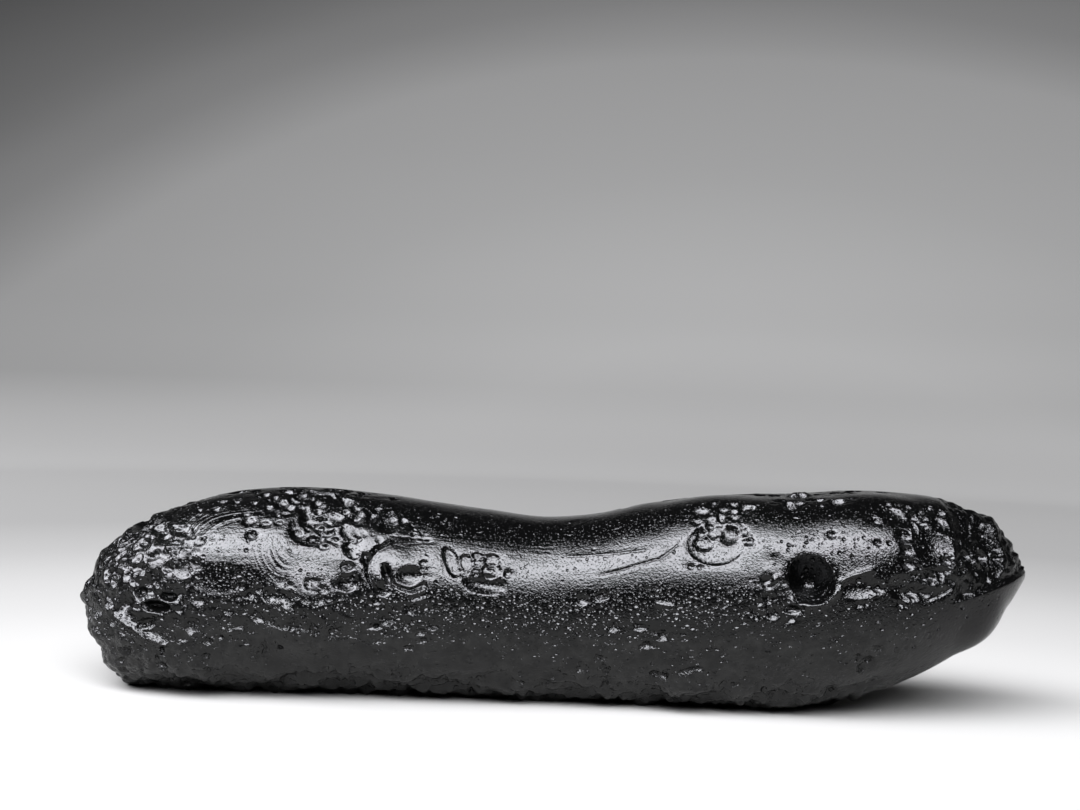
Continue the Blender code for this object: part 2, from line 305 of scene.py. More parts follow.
# Other burst bubbles that stand out as single ones, as above.
BUBBLES = (
    # the long one under the raft
    (-7.2, 17, 4.4, 2.0, 0.62, 2.2, -6),
    # the ear-shaped hollow
    (-16.9, 17, 0.9, 2.5, 0.85, 2.4, 22),
    (-14.7, 17.5, 2.6, 2.1, 0.5, 2.4),
    (-17.3, 9.2, 2.0, 1.6, 0.28, 3.5),
    (-13.4, 25.6, 0.85, 0.75, 0.2, 4),
    (-13.3, 22.2, 0.85, 0.75, 0.2, 4),
    (-13.2, 18.6, 0.6, 0.6, 0.25, 2),
    # the cluster over the blunt shoulder
    (-25.1, 50, 2.3, 2.3, 0.5, 2.6),
    (-22.8, 50, 2.4, 1.9, 0.4, 2.6),
    (-20.4, 53, 1.3, 1.9, 0.55, 2.2),
    (-19.0, 55, 1.1, 1.8, 0.35, 3),
    (-17.2, 50, 1.9, 2.2, 0.42, 3),
    (-18.7, 62, 1.2, 1.2, 0.3, 2.5),
    (-17.3, 59, 0.9, 0.9, 0.3, 2.5),
    (-15.8, 54, 0.9, 1.0, 0.3, 2.2),
    (-20.6, 33, 2.1, 2.9, 0.32, 2.6),
    (-20.3, 27, 1.1, 1.1, 0.25, 3),
    (-19.2, 25.5, 1.2, 1.4, 0.22, 3),
    (-20.9, 19.5, 1.5, 1.2, 0.22, 5),
    (-24.2, 44, 1.2, 0.9, 0.3, 2.5),
    (-22.9, 40, 1.1, 0.9, 0.3, 2.5),
    (-24.6, 36, 1.4, 1.1, 0.3, 2.5),
    (-22.6, 35, 1.2, 0.9, 0.3, 2.5),
    (-23.5, 30.5, 1.1, 0.7, 0.22, 3.5),
    (-26.3, 39, 1.2, 1.4, 0.3, 2.2),
    (-30.8, 37.5, 1.3, 1.2, 0.4, 2.2),
    (-31.3, 47, 1.5, 1.2, 0.3, 2.6),
    (-29.6, 45, 1.2, 0.9, 0.25, 2.6),
    (-28.2, 45.5, 0.9, 0.7, 0.25, 2.6, 25),
    (-20.7, 12, 2.0, 2.0, 0.55, 2.6),
    # the open crescent's mouth
    (14.6, 38, 2.1, 1.9, 0.4, 3),
    (14.4, 44, 1.1, 1.2, 0.28, 2.2),
    (15.5, 43.6, 0.95, 1.7, 0.3, 2.2),
    (15.5, 50, 1.2, 1.4, 0.26, 2.5, -30),
    (17.25, 42.5, 1.8, 2.2, 0.36, 2.2, -15),
    (18.7, 43.3, 0.9, 1.2, 0.28, 2.2),
    (16.6, 54, 1.0, 1.0, 0.3, 2.4),
    (16.8, 59, 1.1, 0.9, 0.3, 2.4),
    (17.9, 53, 0.9, 0.8, 0.3, 2.2),
    (17.9, 57.5, 1.0, 0.8, 0.3, 2.2, -20),
    (14.6, 58, 1.8, 1.6, 0.4, 2.6),
    (16.0, 66, 1.0, 1.0, 0.3, 2.4),
    (13.3, 24, 0.75, 0.7, 0.2, 3),
    (14.2, 23.3, 0.6, 0.6, 0.2, 3),
    (19.1, 37.5, 1.1, 0.9, 0.3, 2.6),
    # round the deep hollow
    (20.8, 15.5, 1.4, 1.5, 0.4, 2.2),
    (21.0, 8, 1.3, 1.3, 0.4, 2.2),
    (21.4, 0.8, 1.4, 1.1, 0.35, 2.2),
    (23.4, 2.6, 2.0, 1.0, 0.4, 2.2),
    (23.3, -1, 0.8, 0.6, 0.3, 2),
    (31.9, 8.5, 1.4, 1.2, 0.35, 2.4),
    (30.0, 1.8, 0.7, 0.6, 0.25, 2),
    (30.7, 1.8, 0.5, 0.5, 0.2, 2),
    (2.6, 11, 1.3, 1.2, 0.35, 2.2),
    (4.6, 12, 1.5, 0.8, 0.3, 2.2, 20),
    (27.3, 39, 1.0, 0.9, 0.3, 2.6),
    (31.8, 32, 0.8, 0.8, 0.25, 2.6),
    # the pointed end
    (34.0, 48, 3.2, 2.6, 0.45, 3),
    (34.5, 35.5, 1.7, 1.6, 0.5, 2.2),
    (34.7, 27.5, 1.2, 1.3, 0.4, 2.2),
    (34.8, 20.8, 1.3, 1.7, 0.5, 2.2),
    (31.9, 44.5, 1.0, 1.0, 0.35, 2.2),
    (36.6, 44, 1.3, 1.0, 0.4, 2.2, 20),
    (39.2, 18, 1.3, 1.3, 0.45, 2.2),
    (33.6, 58, 1.0, 0.9, 0.3, 2.4),
    (34.6, 58, 1.0, 1.0, 0.3, 2.4),
    (35.6, 57, 1.0, 1.0, 0.3, 2.4),
    (35.8, 41, 0.7, 1.2, 0.3, 2.4),
    (38.7, 44, 1.8, 2.2, 0.4, 2.4, -35),
    (36.4, 10.5, 0.9, 0.9, 0.35, 2.2),
    (37.4, 10.5, 0.9, 0.9, 0.35, 2.2),
    (36.6, 3, 2.4, 1.2, 0.4, 2.4, 20),
    (39.5, 6, 1.4, 1.0, 0.35, 2.4, 20),
    (34.2, 0, 1.0, 0.8, 0.3, 2.2),
    (41.9, 21, 1.4, 1.8, 0.5, 2.2, -30),
    (44.3, 22, 1.5, 2.0, 0.5, 2.2),
    # the blunt end
    (-44.4, -5, 1.4, 1.2, 0.4, 2.4, -20),
    (-39.8, 47, 2.0, 2.0, 0.6, 2.4),
    (-38.2, 44, 1.2, 1.2, 0.4, 2.4),
    (-41.6, 10.5, 1.2, 1.0, 0.5, 2.2),
    (-22.1, -12, 2.2, 1.6, 0.4, 2.4),
    (-27.3, -22.5, 0.7, 0.7, 0.3, 2.2),
    (-34.5, -19, 0.9, 0.9, 0.35, 2.2),
    (-34.7, -28, 1.0, 0.8, 0.35, 2.2),
    (-33.2, -17, 0.7, 0.6, 0.3, 2.2),
    (-14.6, -20, 1.0, 0.7, 0.3, 2.4),
    (-13.4, -10, 1.2, 0.9, 0.35, 2.4),
    (-13.0, -14.5, 0.8, 0.8, 0.3, 2.2),
    # the lower flank
    (8.5, -4.5, 1.4, 0.8, 0.35, 2.4, 10),
    (10.7, -9, 1.0, 1.2, 0.4, 2.4, 30),
    (9.2, -14, 1.2, 0.8, 0.35, 2.4),
    (1.6, -19.5, 1.1, 0.8, 0.12, 2.2),
    (2.8, -22.5, 1.0, 0.9, 0.12, 2.2),
    (5.3, -29, 0.9, 0.8, 0.12, 2.2),
    (27.8, -12.5, 0.6, 0.6, 0.25, 2.2),
    (30.3, -25, 1.1, 0.9, 0.15, 2.2),
    (31.3, -26.5, 1.0, 0.9, 0.15, 2.2),
    (32.0, -21.5, 1.1, 0.7, 0.2, 2.6),
    (30.7, -33, 0.6, 0.6, 0.22, 2.2),
)

# Lines on the skin, as places along the length and turns: round the ear-shaped hollow, and along the worn
# lower flank.
EAR_EDGE = (
    *((-12.4, 41), (-15.0, 40.5), (-16.8, 37.5), (-18.2, 32)),
    *((-19.0, 24), (-18.8, 16), (-18.0, 9), (-16.6, 6.5)),
)
WORN_EDGE = (
    *((-31, -7), (-28.2, -9), (-27, -11.5), (-26, -9), (-24.9, -10.8), (-23.6, -15.5)),
    *((-22.9, -17.5), (-21.2, -17), (-20.2, -15.5), (-19.4, -17), (-18.5, -19.5), (-15.5, -14)),
)
# Ridges, and grooves where they stand inwards: width, how far they stand, and the line.
RIDGES = (
    (0.55, 0.45, ((-44.6, 1), (-43.4, -4), (-42.0, -8), (-40.6, -14), (-39.4, -17), (-37.8, -20))),
    (0.7, 0.35, ((-26.5, 80), (-25.5, 77), (-23.4, 75), (-21.8, 76))),
    (0.6, 0.3, ((22.6, 9), (23.4, 5.5), (24.8, 3.6), (26.4, 4), (27.6, 8), (28.1, 12))),
    (0.5, 0.25, ((27.8, 7), (28.2, 14), (29.3, 15.6), (31.7, 18.5))),
    (0.45, 0.25, ((20.5, 12.5), (21.4, 16), (22.2, 20))),
    (0.4, 0.2, ((21.5, 11), (22.1, 15.5))),
    (0.4, -0.3, ((-16.2, 11.5), (-14.6, 9.5), (-12.8, 14.5))),
    (0.35, 0.25, ((-15.0, 6), (-13.9, 8.5), (-12.9, 11))),
    (0.35, 0.2, ((-14.8, 2), (-13.8, 4.5), (-12.6, 7))),
    (0.45, -0.3, ((15.4, -27.5), (14.0, -27.5), (12.9, -29.0), (12.2, -32.0))),
    (0.75, -0.4, ((12.0, -33.0), (10.8, -33.5), (9.4, -31.5))),
    (0.55, -0.3, EAR_EDGE),
    (0.25, -0.12, ((4.0, 25), (7.0, 27), (10.3, 30), (12.6, 40))),
    (0.3, 0.08, ((0.3, 39), (4.5, 38.5), (9.3, 36))),
    (0.5, -0.3, ((5.6, -33), (5.4, -40), (4.8, -48))),
    (0.4, 0.25, ((9.6, 6), (10.8, 4.5), (12.0, 3))),
    (0.4, 0.22, ((-30.9, -21), (-30.4, -23), (-29.6, -22.5))),
    (0.4, 0.22, ((-30.9, -31), (-30.2, -30), (-29.3, -33))),
    (0.4, -0.3, ((-28.9, -17), (-28.8, -24), (-29.2, -31))),
    (0.5, 0.25, ((-33.0, -12), (-32.4, -14), (-31.4, -13))),
)

# Scarps: how far the upper side drops, how wide the drop stays deep, and the line of the edge.
SCARPS = (
    (0.12, 2.2, WORN_EDGE),
    (0.2, 1.0, ((36.0, -2), (38.6, 0), (40.2, 2.5))),
    (0.35, 3.2, ((-12.6, 40), (-15.0, 40), (-16.6, 37.5), (-18.0, 32), (-18.9, 24), (-18.6, 12))),
)
LINE_TAPER = 0.8  # over which a ridge or scarp dies out at its ends
SCARP_EDGE = 0.1  # half the width of a scarp's steep face

# Patches of skin: place along the length, turn, half length, half turn and strength.
SPOT_EDGE = (1.2, 0.7)  # where a patch begins and where it is whole, as shares of its half length
# Where the skin is frothy with burst bubbles:
FROTH = (
    (-41.0, 27, 6.5, 34, 1.0),
    (-29.0, 64, 9.5, 13, 1.0),
    (-19.5, 47, 6.0, 15, 0.75),
    (-21.5, 31, 3.4, 10, 0.5),
    (-24.0, -2, 12.0, 13, 0.8),
    (-36.0, -8, 3.5, 12, 0.8),
    (16.4, 53, 3.0, 13, 0.6),
    (22.0, 5, 2.6, 11, 0.8),
    (36.0, 56, 4.0, 10, 0.8),
    (37.0, 8, 3.2, 9, 0.9),
    (6.0, 0, 5.5, 9, 0.25),
    (10.0, -10, 2.5, 8, 0.25),
    (3.0, -25, 3.0, 7, 0.25),
    (31.0, -30, 3.2, 14, 0.3),
    (27.0, -45, 3.0, 10, 0.3),
    (-26.0, 80, 8.0, 14, 0.9),
    (-41.0, -42, 9.0, 22, 0.4),
    (23.0, 66, 9.0, 7, 0.45),
    (-36.0, 170, 10.0, 55, 0.9),
    (-8.0, 160, 11.0, 26, 0.8),
    (24.0, 190, 10.0, 34, 0.9),
    (8.0, 112, 10.0, 20, 0.7),
    (0.0, 262, 32.0, 26, 0.7),
    (28.0, 84, 7.0, 9, 0.8),
)
# Where the skin is peppered with fine pits:
PEPPER = (
    (6.0, 5, 21.0, 10, 1.0),
    (-20.0, 2, 14.0, 16, 1.0),
    (-40.0, 10, 9.0, 70, 0.3),
    (36.0, 20, 7.0, 45, 0.3),
    (9.0, 61, 19.0, 11, 0.3),
    (-14.0, 60, 12.0, 10, 0.25),
    (28.0, 32, 7.0, 14, 0.45),
    (-34.0, 16, 3.6, 6, 0.7),
    (0.0, -25, 46.0, 24, 0.12),
    (0.0, 180, 48.0, 60, 0.6),
)
# Where the melt's flow shows as fine lines:
FLOW = (
    (-32.0, 34, 7.0, 22, 0.5),
    (-8.0, 44, 11.0, 12, 1.0),
    (6.0, 32, 12.0, 12, 0.6),
    (24.0, 38, 8.0, 10, 0.5),
    (-2.0, -20, 14.0, 18, 0.5),
    (0.0, 130, 40.0, 30, 0.8),
)
FLOW_BEND = 1.3  # how far the lines wander, over what length, and the seed of their bends
FLOW_BEND_SIZE = 14.0
FLOW_SEED = 20
# Whirls in the flow: the middle's place and turn, the least and most radius of its arcs, and the way the arcs
# lie from the middle in degrees.
WHIRLS = (
    (-25.8, 34.4, 1.5, 4.4, 212),
    (-30.4, 13.8, 6.6, 9.8, 122),
)


def wrapped(turns):
    """Turns brought between -180 and 180 degrees."""
    return (turns + 180) % 360 - 180


def spots(along, turns, rows):
    """How strongly each point lies in a list of soft oval spots, from 0 to 1."""
    found = np.zeros(len(along))
    for middle, turn, half_length, half_turn, strength in rows:
        reach = np.hypot((along - middle) / half_length, wrapped(turns - turn) / half_turn)
        found = np.maximum(found, strength * falloff(reach, *SPOT_EDGE))
    return found


def steepness(turns):
    """How steep the froth's walls are: least on the etched upper front, and most over the top."""
    upper = falloff(turns, *EASE_FROM) * falloff(turns, *EASE_TO)
    return STEEP - STEEP_EASE * upper + STEEP_MORE * falloff(turns, *MORE_FROM)


def tangent_frame(along, turn):
    """A point of the plain rod, and the unit directions along and round it there."""
    step = 0.05  # millimetres, and a degree below
    places = np.array([along, along - step, along + step, along, along])
    turns = np.radians([turn, turn, turn, turn - 1, turn + 1])
    here, before, after, under, over = loft(share_of(places), turns)
    ahead = (after - before) / np.linalg.norm(after - before)
    up = (over - under) / np.linalg.norm(over - under)
    return here, ahead, up


def local_places(points, along, turn):
    """Each point's distance along and round the rod from a place on it."""
    here, ahead, up = tangent_frame(along, turn)
    return (points - here) @ ahead, (points - here) @ up


def pressed(points, rows, outline=0.0):
    """How far each point moves for a list of hollows, which meet in sharp edges. An outline is a fine groove
    round each, as deep as this share of the hollow."""
    move = np.zeros(len(points))
    groove = np.zeros(len(points))
    for along, turn, length, width, depth, flatness, *tilt in rows:
        here = loft(share_of(np.array(along)), np.radians(turn))
        near = np.flatnonzero(((points - here) ** 2).sum(axis=1) < (max(length, width) * NEAR) ** 2)
        u, v = local_places(points[near], along, turn)
        lean = math.radians(sum(tilt))
        reach = np.hypot(
            (u * math.cos(lean) + v * math.sin(lean)) / (length / 2),
            (v * math.cos(lean) - u * math.sin(lean)) / (width / 2),
        )
        move[near] = np.minimum(move[near], -depth * np.clip(1 - reach**flatness, 0, 1))
        rim = np.exp(-(((reach - OUTLINE_PLACE) * min(length, width) / 2 / OUTLINE_WIDTH) ** 2))
        groove[near] = np.minimum(groove[near], -outline * depth * rim)
    return move + groove


def beside(along, round_it, line, taper):
    """Each point's distance from a line on the skin, positive on its upper side, and 1 fading to 0 at its
    ends."""
    knots = np.array(line, float)
    knots[:, 1] *= GIRTH
    best = np.full(len(along), np.inf)
    side = np.zeros(len(along))
    run = np.zeros(len(along))
    before = 0.0
    for start, end in zip(knots, knots[1:]):
        du, dv = end - start
        length = math.hypot(du, dv)
        u = along - start[0]
        v = round_it - start[1]
        share = np.clip((u * du + v * dv) / length**2, 0, 1)
        away = np.hypot(u - share * du, v - share * dv)
        nearer = away < best
        best[nearer] = away[nearer]
        side[nearer] = np.sign(v * du - u * dv)[nearer]
        run[nearer] = before + share[nearer] * length
        before += length
    return best * side, falloff(run, 0, taper) * falloff(before - run, 0, taper)


def close_by(along, line):
    """Which points lie within a millimetre of a line's stretch of the rod."""
    places = [place for place, _ in line]
    return np.flatnonzero((along > min(places) - 1) & (along < max(places) + 1))


def lined(along, turns):
    """How far each point moves for the ridges, grooves and scarps."""
    move = np.zeros(len(along))
    round_it = turns * GIRTH
    for width, stand, line in RIDGES:
        near = close_by(along, line)
        away, fade = beside(along[near], round_it[near], line, LINE_TAPER)
        move[near] += stand * fade * np.exp(-((away / (width / 2)) ** 2))
    for drop, reach, line in SCARPS:
        near = close_by(along, line)
        away, fade = beside(along[near], round_it[near], line, LINE_TAPER + reach / 2)
        move[near] -= drop * fade * falloff(away, -SCARP_EDGE, SCARP_EDGE) * falloff(away, reach, 0)
    return move


def swelling(points):
    """How far each point moves out for the swellings."""
    move = np.zeros(len(points))
    for along, turn, width, stand in SWELLINGS:
        middle = loft(share_of(np.array(along)), np.radians(turn))
        reach = np.linalg.norm(points - middle, axis=1) / (width / 2)
        move += stand * np.clip(1 - reach**2, 0, None) ** 2
    return move


def blunt_low(points):
    """1 on the worn lower part of the blunt end, fading to 0 above it."""
    return falloff(points[:, 2] + BLUNT_SLOPE * (points[:, 0] - BLUNT_PLACE), *BLUNT_LOW)


def broken_share(points):
    """How broken the skin is at each point: at the blunt end, at the pointed one and underneath."""
    along = points[:, 0]
    above_ledge = points[:, 2] - LEDGE_START[1] - LEDGE_SLOPE * (along - LEDGE_START[0])
    left = falloff(along, *ROUGH_LEFT)
    right = falloff(along, *ROUGH_RIGHT) * falloff(above_ledge, 0, LEDGE_RISE)
    under = UNDERSIDE_SHARE * falloff(points[:, 2], *UNDERSIDE) * (1 - falloff(along, *SMOOTH_FOOT))
    under = np.maximum(under, UNDERSIDE_SHARE * left * blunt_low(points))
    return left, right, under


def matt_share(points, turns):
    """How matt the skin is at each point: most at the worn parts, and little in the fresh break."""
    left, _, under = broken_share(points)
    left = left * (MATT_UPPER + (1 - MATT_UPPER) * blunt_low(points)) * falloff(points[:, 2], *MATT_FOOT)
    flank = MATT_FLANK * falloff(turns, *FLANK_FROM) * falloff(turns, *FLANK_TO)
    return np.max([left, MATT_UNDERSIDE * under, flank * (1 - falloff(points[:, 0], *FLANK_END))], axis=0)


def creased(points, size, seed):
    """Noise from about -1 to 1 whose lumps meet in sharp creases."""
    return 1 - 4 * np.abs(lumps(points, size, seed))


def relief(points, turns):
    """How far each point of the plain rod moves out, before the froth."""
    along = points[:, 0]
    move = sum(stand * lumps(points, size, SKIN_SEED + i) for i, (size, stand) in enumerate(SKIN))
    left, right, under = broken_share(points)
    for i, (size, *stands) in enumerate(HACKLE):
        stand = np.max([share * stand for share, stand in zip((left, right, under), stands)], axis=0)
        move -= stand / 2 * creased(points, size, HACKLE_SEED + i)
    move -= LEDGE_DROP * right * (1 - LEDGE_EASE * falloff(turns, *LEDGE_TOP))
    move = move + swelling(points) + pressed(points, HOLLOWS)
    move = move + pressed(points, RAFT, RAFT_OUTLINE) + pressed(points, BUBBLES, BUBBLE_OUTLINE)
    return move + lined(along, turns)


def flow_map(along, turns):
    """Each point's place along and across the melt's flow lines, and how strongly the lines show."""
    across = turns * GIRTH
    bend = FLOW_BEND * lumps(np.stack([along, across, 0 * along], axis=1), FLOW_BEND_SIZE, FLOW_SEED)
    return np.stack([along, across + bend, spots(along, turns, FLOW)], axis=1)


# Where the mesh stays at its finest: place along the length, turn, half length and half turn.
FINE_WORK = (
    (-8.0, 26, 5.2, 16),
    (-15.6, 22, 4.0, 22),
    (16.6, 44, 3.4, 20),
    (25.2, 15, 3.6, 18),
)


def finely_worked(along, turns):
    """Which points lie where the mesh stays at its finest."""
    return spots(along, turns, [(*row, 1.0) for row in FINE_WORK]) > 0.5


def outward(points, quads):
    """Unit normals of the plain rod's points."""
    corners = points[quads]
    faces = np.cross(corners[:, 2] - corners[:, 0], corners[:, 3] - corners[:, 1])
    normals = np.stack(
        [sum(np.bincount(quads[:, c], faces[:, axis], len(points)) for c in range(4)) for axis in range(3)],
        axis=1,
    )
    return normals / np.linalg.norm(normals, axis=1, keepdims=True)


# ---------------------------------------------------------------------------------------------------------
# Nodes
# ---------------------------------------------------------------------------------------------------------

MATH = "ShaderNodeMath"
VECTOR_MATH = "ShaderNodeVectorMath"
MAP_RANGE = "ShaderNodeMapRange"
MIX = "ShaderNodeMix"
NOISE = "ShaderNodeTexNoise"
STORED = "GeometryNodeInputNamedAttribute"
MIX_A, MIX_B, MIX_OUT = 6, 7, 2  # the numbers of a Mix node's colour sockets


def add_node(tree, kind, inputs=(), **settings):
    """Adds a node with its settings, and sets its inputs, in order or by name or number, or links them to a
    socket or to a node's first output."""
    node = tree.nodes.new(kind)
    for name, value in settings.items():
        setattr(node, name, value)
    for socket, value in inputs.items() if isinstance(inputs, dict) else enumerate(inputs):
        if isinstance(value, bpy.types.Node):
            value = value.outputs[0]
        if isinstance(value, bpy.types.NodeSocket):
            tree.links.new(value, node.inputs[socket])
        else:
            node.inputs[socket].default_value = value
    return node


def linear(hex_colour):
    """An sRGB hex colour as linear red, green, blue and alpha."""
    parts = [int(hex_colour[i : i + 2], 16) / 255 for i in (1, 3, 5)]
    return tuple(c / 12.92 if c <= 0.04045 else ((c + 0.055) / 1.055) ** 2.4 for c in parts) + (1.0,)


# Burst bubbles, as shares of their spacing: the waves of the noise that sets them out of line and how far it
# moves them, and the least radius and how much more the largest has, as shares of the given one.
STRAY_WAVES = 1.3
STRAY = (0.3, 0.3, 0.3)
LEAST_RADIUS = 0.65
MORE_RADIUS = 0.35
PATCH_EDGE = (8.0, 0.3)  # how sharply a cell's chance decides, and how strong a bubble is at the mask's edge
APART = (1.0, 3.1, 7.7)  # the way in which one layer of bubbles is shifted from the next


def burst_bubbles(tree, place, mask, spacing, radius, flatness, shift):
    """Adds nodes for a layer of burst bubbles: how deep each point lies, from 0 to 1, in the cells whose
    chance is under the mask. A flatness of 2 is a bowl, and more gives a flat floor with a steep wall."""
    wide = add_node(tree, MATH, (1.0, spacing), operation="DIVIDE")
    grid = add_node(tree, VECTOR_MATH, {0: place, "Scale": wide}, operation="SCALE")
    bend = add_node(tree, NOISE, {"Vector": grid, "Scale": STRAY_WAVES, "Detail": 1.0}).outputs["Color"]
    bent = add_node(tree, VECTOR_MATH, (bend, STRAY, grid), operation="MULTIPLY_ADD")
    moved = add_node(tree, VECTOR_MATH, (bent, tuple(way * shift for way in APART)))
    cells = add_node(tree, "ShaderNodeTexVoronoi", {"Vector": moved, "Scale": 1.0})
    chance = add_node(tree, "ShaderNodeSeparateXYZ", [cells.outputs["Color"]]).outputs
    size = add_node(tree, MATH, (chance[1], MORE_RADIUS, LEAST_RADIUS), operation="MULTIPLY_ADD")
    wall = add_node(tree, MATH, (size, radius), operation="MULTIPLY")
    reach = add_node(tree, MATH, (cells, wall), operation="DIVIDE")
    power = add_node(tree, MATH, (reach, flatness), operation="POWER")
    bowl = add_node(tree, MATH, (1.0, power), operation="SUBTRACT", use_clamp=True)
    deep = add_node(tree, MATH, (bowl, wall), operation="MULTIPLY")
    spare = add_node(tree, MATH, (mask, chance[0]), operation="SUBTRACT")
    sharp, edge = PATCH_EDGE
    there = add_node(tree, MATH, (spare, sharp, edge), operation="MULTIPLY_ADD", use_clamp=True)
    return add_node(tree, MATH, (deep, there), operation="MULTIPLY")


SEED_STEP = (1.7, 0.9, 2.3)  # how far a step of the seed moves the froth, in metres
SMALL_SHIFT = 5.0  # sets the small bubbles' scatter apart from the large ones'


def froth_tree():
    """A Geometry Nodes tree that presses two sizes of burst bubbles into a surface where a mask says."""
    tree = bpy.data.node_groups.new("froth of burst bubbles", "GeometryNodeTree")
    tree.is_modifier = True
    for name, kind, default in (
        ("Geometry", "NodeSocketGeometry", None),
        ("Mask", "NodeSocketString", ""),
        ("Spacing", "NodeSocketFloat", 1.8 * MM),
        ("Small Spacing", "NodeSocketFloat", 1.1 * MM),
        ("Radius", "NodeSocketFloat", 0.52),
        ("Flatness", "NodeSocketFloat", 2.1),
        ("Depth", "NodeSocketFloat", 0.36),
        ("Seed", "NodeSocketFloat", 0.0),
        ("Material", "NodeSocketMaterial", None),
    ):
        socket = tree.interface.new_socket(name, in_out="INPUT", socket_type=kind)
        if default is not None:
            socket.default_value = default
    tree.interface.new_socket("Geometry", in_out="OUTPUT", socket_type="NodeSocketGeometry")
    given = add_node(tree, "NodeGroupInput").outputs
    mask, steep, away, plain = (
        add_node(tree, STORED, {"Name": name}, data_type=kind).outputs[0]
        for name, kind in (
            (given["Mask"], "FLOAT"),
            ("steepness", "FLOAT"),
            ("outward", "FLOAT_VECTOR"),
            ("plain", "FLOAT_VECTOR"),
        )
    )
    seed = add_node(tree, VECTOR_MATH, {0: SEED_STEP, "Scale": given["Seed"]}, operation="SCALE")
    place = add_node(tree, VECTOR_MATH, (plain, seed))
    depths = []
    for spacing, shift in ((given["Spacing"], 0.0), (given["Small Spacing"], SMALL_SHIFT)):
        bowl = burst_bubbles(tree, place, mask, spacing, given["Radius"], given["Flatness"], shift)
        wide = add_node(tree, MATH, (spacing, given["Depth"]), operation="MULTIPLY")
        depths.append(add_node(tree, MATH, (bowl, wide), operation="MULTIPLY"))
    both = add_node(tree, MATH, (depths[0], depths[1]), operation="ADD")
    steeped = add_node(tree, MATH, (both, steep), operation="MULTIPLY")
    inward = add_node(tree, MATH, (steeped, -1.0), operation="MULTIPLY")
    offset = add_node(tree, VECTOR_MATH, {0: away, "Scale": inward}, operation="SCALE")
    sunk = add_node(tree, "GeometryNodeSetPosition", {"Geometry": given["Geometry"], "Offset": offset})
    real = add_node(tree, "GeometryNodeRealizeInstances", {"Geometry": sunk})
    painted = add_node(tree, "GeometryNodeSetMaterial", {"Geometry": real, "Material": given["Material"]})
    add_node(tree, "NodeGroupOutput", {"Geometry": painted})
    return tree


def new_material(name, constants):
    """A material, its tree, and its Principled shader's inputs, set to what is the same all over."""
    material = bpy.data.materials.new(name)
    material.use_nodes = True
    inputs = material.node_tree.nodes["Principled BSDF"].inputs
    for socket, value in constants.items():
        inputs[socket].default_value = value
    return material, material.node_tree, inputs


# A whirl's arcs, about half a millimetre apart: waves of the noise that draws them for each millimetre of
# radius, the size in millimetres of their wobble and how many waves it moves them, how closely a place must
# lie in the whirl's way for its arcs to begin and to be whole, and the millimetres over which they come in
# and die out.
WHIRL_WAVES = 2.1
WHIRL_WOBBLE = 4
WHIRL_WANDER = 2.5
WHIRL_SPREAD = (0.68, 0.9)
WHIRL_START = 0.5
WHIRL_END = 0.8


def whirl_lines(tree, place, height, row, depth):
    """Adds nodes that draw a whirl's arcs into the height: fine grooves a set distance from its middle."""
    along, turn, least, most, lie = row
    here, ahead, up = tangent_frame(along, turn)
    facing = ahead * math.cos(math.radians(lie)) + up * math.sin(math.radians(lie))
    away = add_node(tree, VECTOR_MATH, (place, tuple(here * MM)), operation="SUBTRACT")
    radius = add_node(tree, VECTOR_MATH, [away], operation="LENGTH").outputs["Value"]
    way = add_node(tree, VECTOR_MATH, [away], operation="NORMALIZE")
    toward = add_node(tree, VECTOR_MATH, (way, tuple(facing)), operation="DOT_PRODUCT").outputs["Value"]
    rings = add_node(tree, MATH, (radius, WHIRL_WAVES / MM), operation="MULTIPLY")
    wobble = add_node(tree, NOISE, {"Vector": place, "Scale": 1 / (WHIRL_WOBBLE * MM), "Detail": 0.0})
    bent = add_node(tree, MATH, (wobble, WHIRL_WANDER, rings), operation="MULTIPLY_ADD")
    lines = add_node(tree, NOISE, {"W": bent, "Scale": 1.0, "Detail": 1.0}, noise_dimensions="1D")
    kept = add_node(tree, MATH, (lines, 0.5), operation="SUBTRACT")
    for value, start, end in (
        (toward, *WHIRL_SPREAD),
        (radius, (least - WHIRL_START) * MM, least * MM),
        (radius, (most + WHIRL_END) * MM, most * MM),
    ):
        mask = add_node(tree, MAP_RANGE, {"Value": value, "From Min": start, "From Max": end})
        kept = add_node(tree, MATH, (kept, mask), operation="MULTIPLY")
    return add_node(tree, MATH, (kept, depth / MM, height), operation="MULTIPLY_ADD")


# The etch's dimples are nearer 0.05 mm wide, and are drawn this coarse, in millimetres, so that they show;
# and how much deeper they are where the skin is matt, and shallower in the froth.
PEEL_SIZE = 0.22
PEEL_MATT = 1.6
PEEL_FROTH = -0.7
# Pits in the bump, fine to coarse: where they lie, their spacing in millimetres, the radius as a share of it,
# the flatness, the depth as a share of the spacing, and the layer's shift. The finest real ones are about
# 0.05 mm wide, and are drawn at four times that, so that they show.
PITS = (
    ("all over", 0.24, 0.42, 2.0, 0.3, 11.0),
    ("peppered", 0.36, 0.5, 2.0, 0.6, 17.0),
    ("peppered", 0.62, 0.48, 2.0, 0.6, 31.0),
    ("thinly peppered", 1.0, 0.36, 2.2, 0.7, 29.0),
    ("frothy", 1.15, 0.52, 2.0, 0.16, 41.0),
    ("matt", 0.85, 0.5, 2.0, 0.35, 53.0),
)
# The chance of a pit in a cell: all over, and on plain and on peppered skin.
PITS_ALL_OVER = 0.8
PEPPERED = (0.06, 0.6)
THINLY_PEPPERED = (0.03, 0.3)
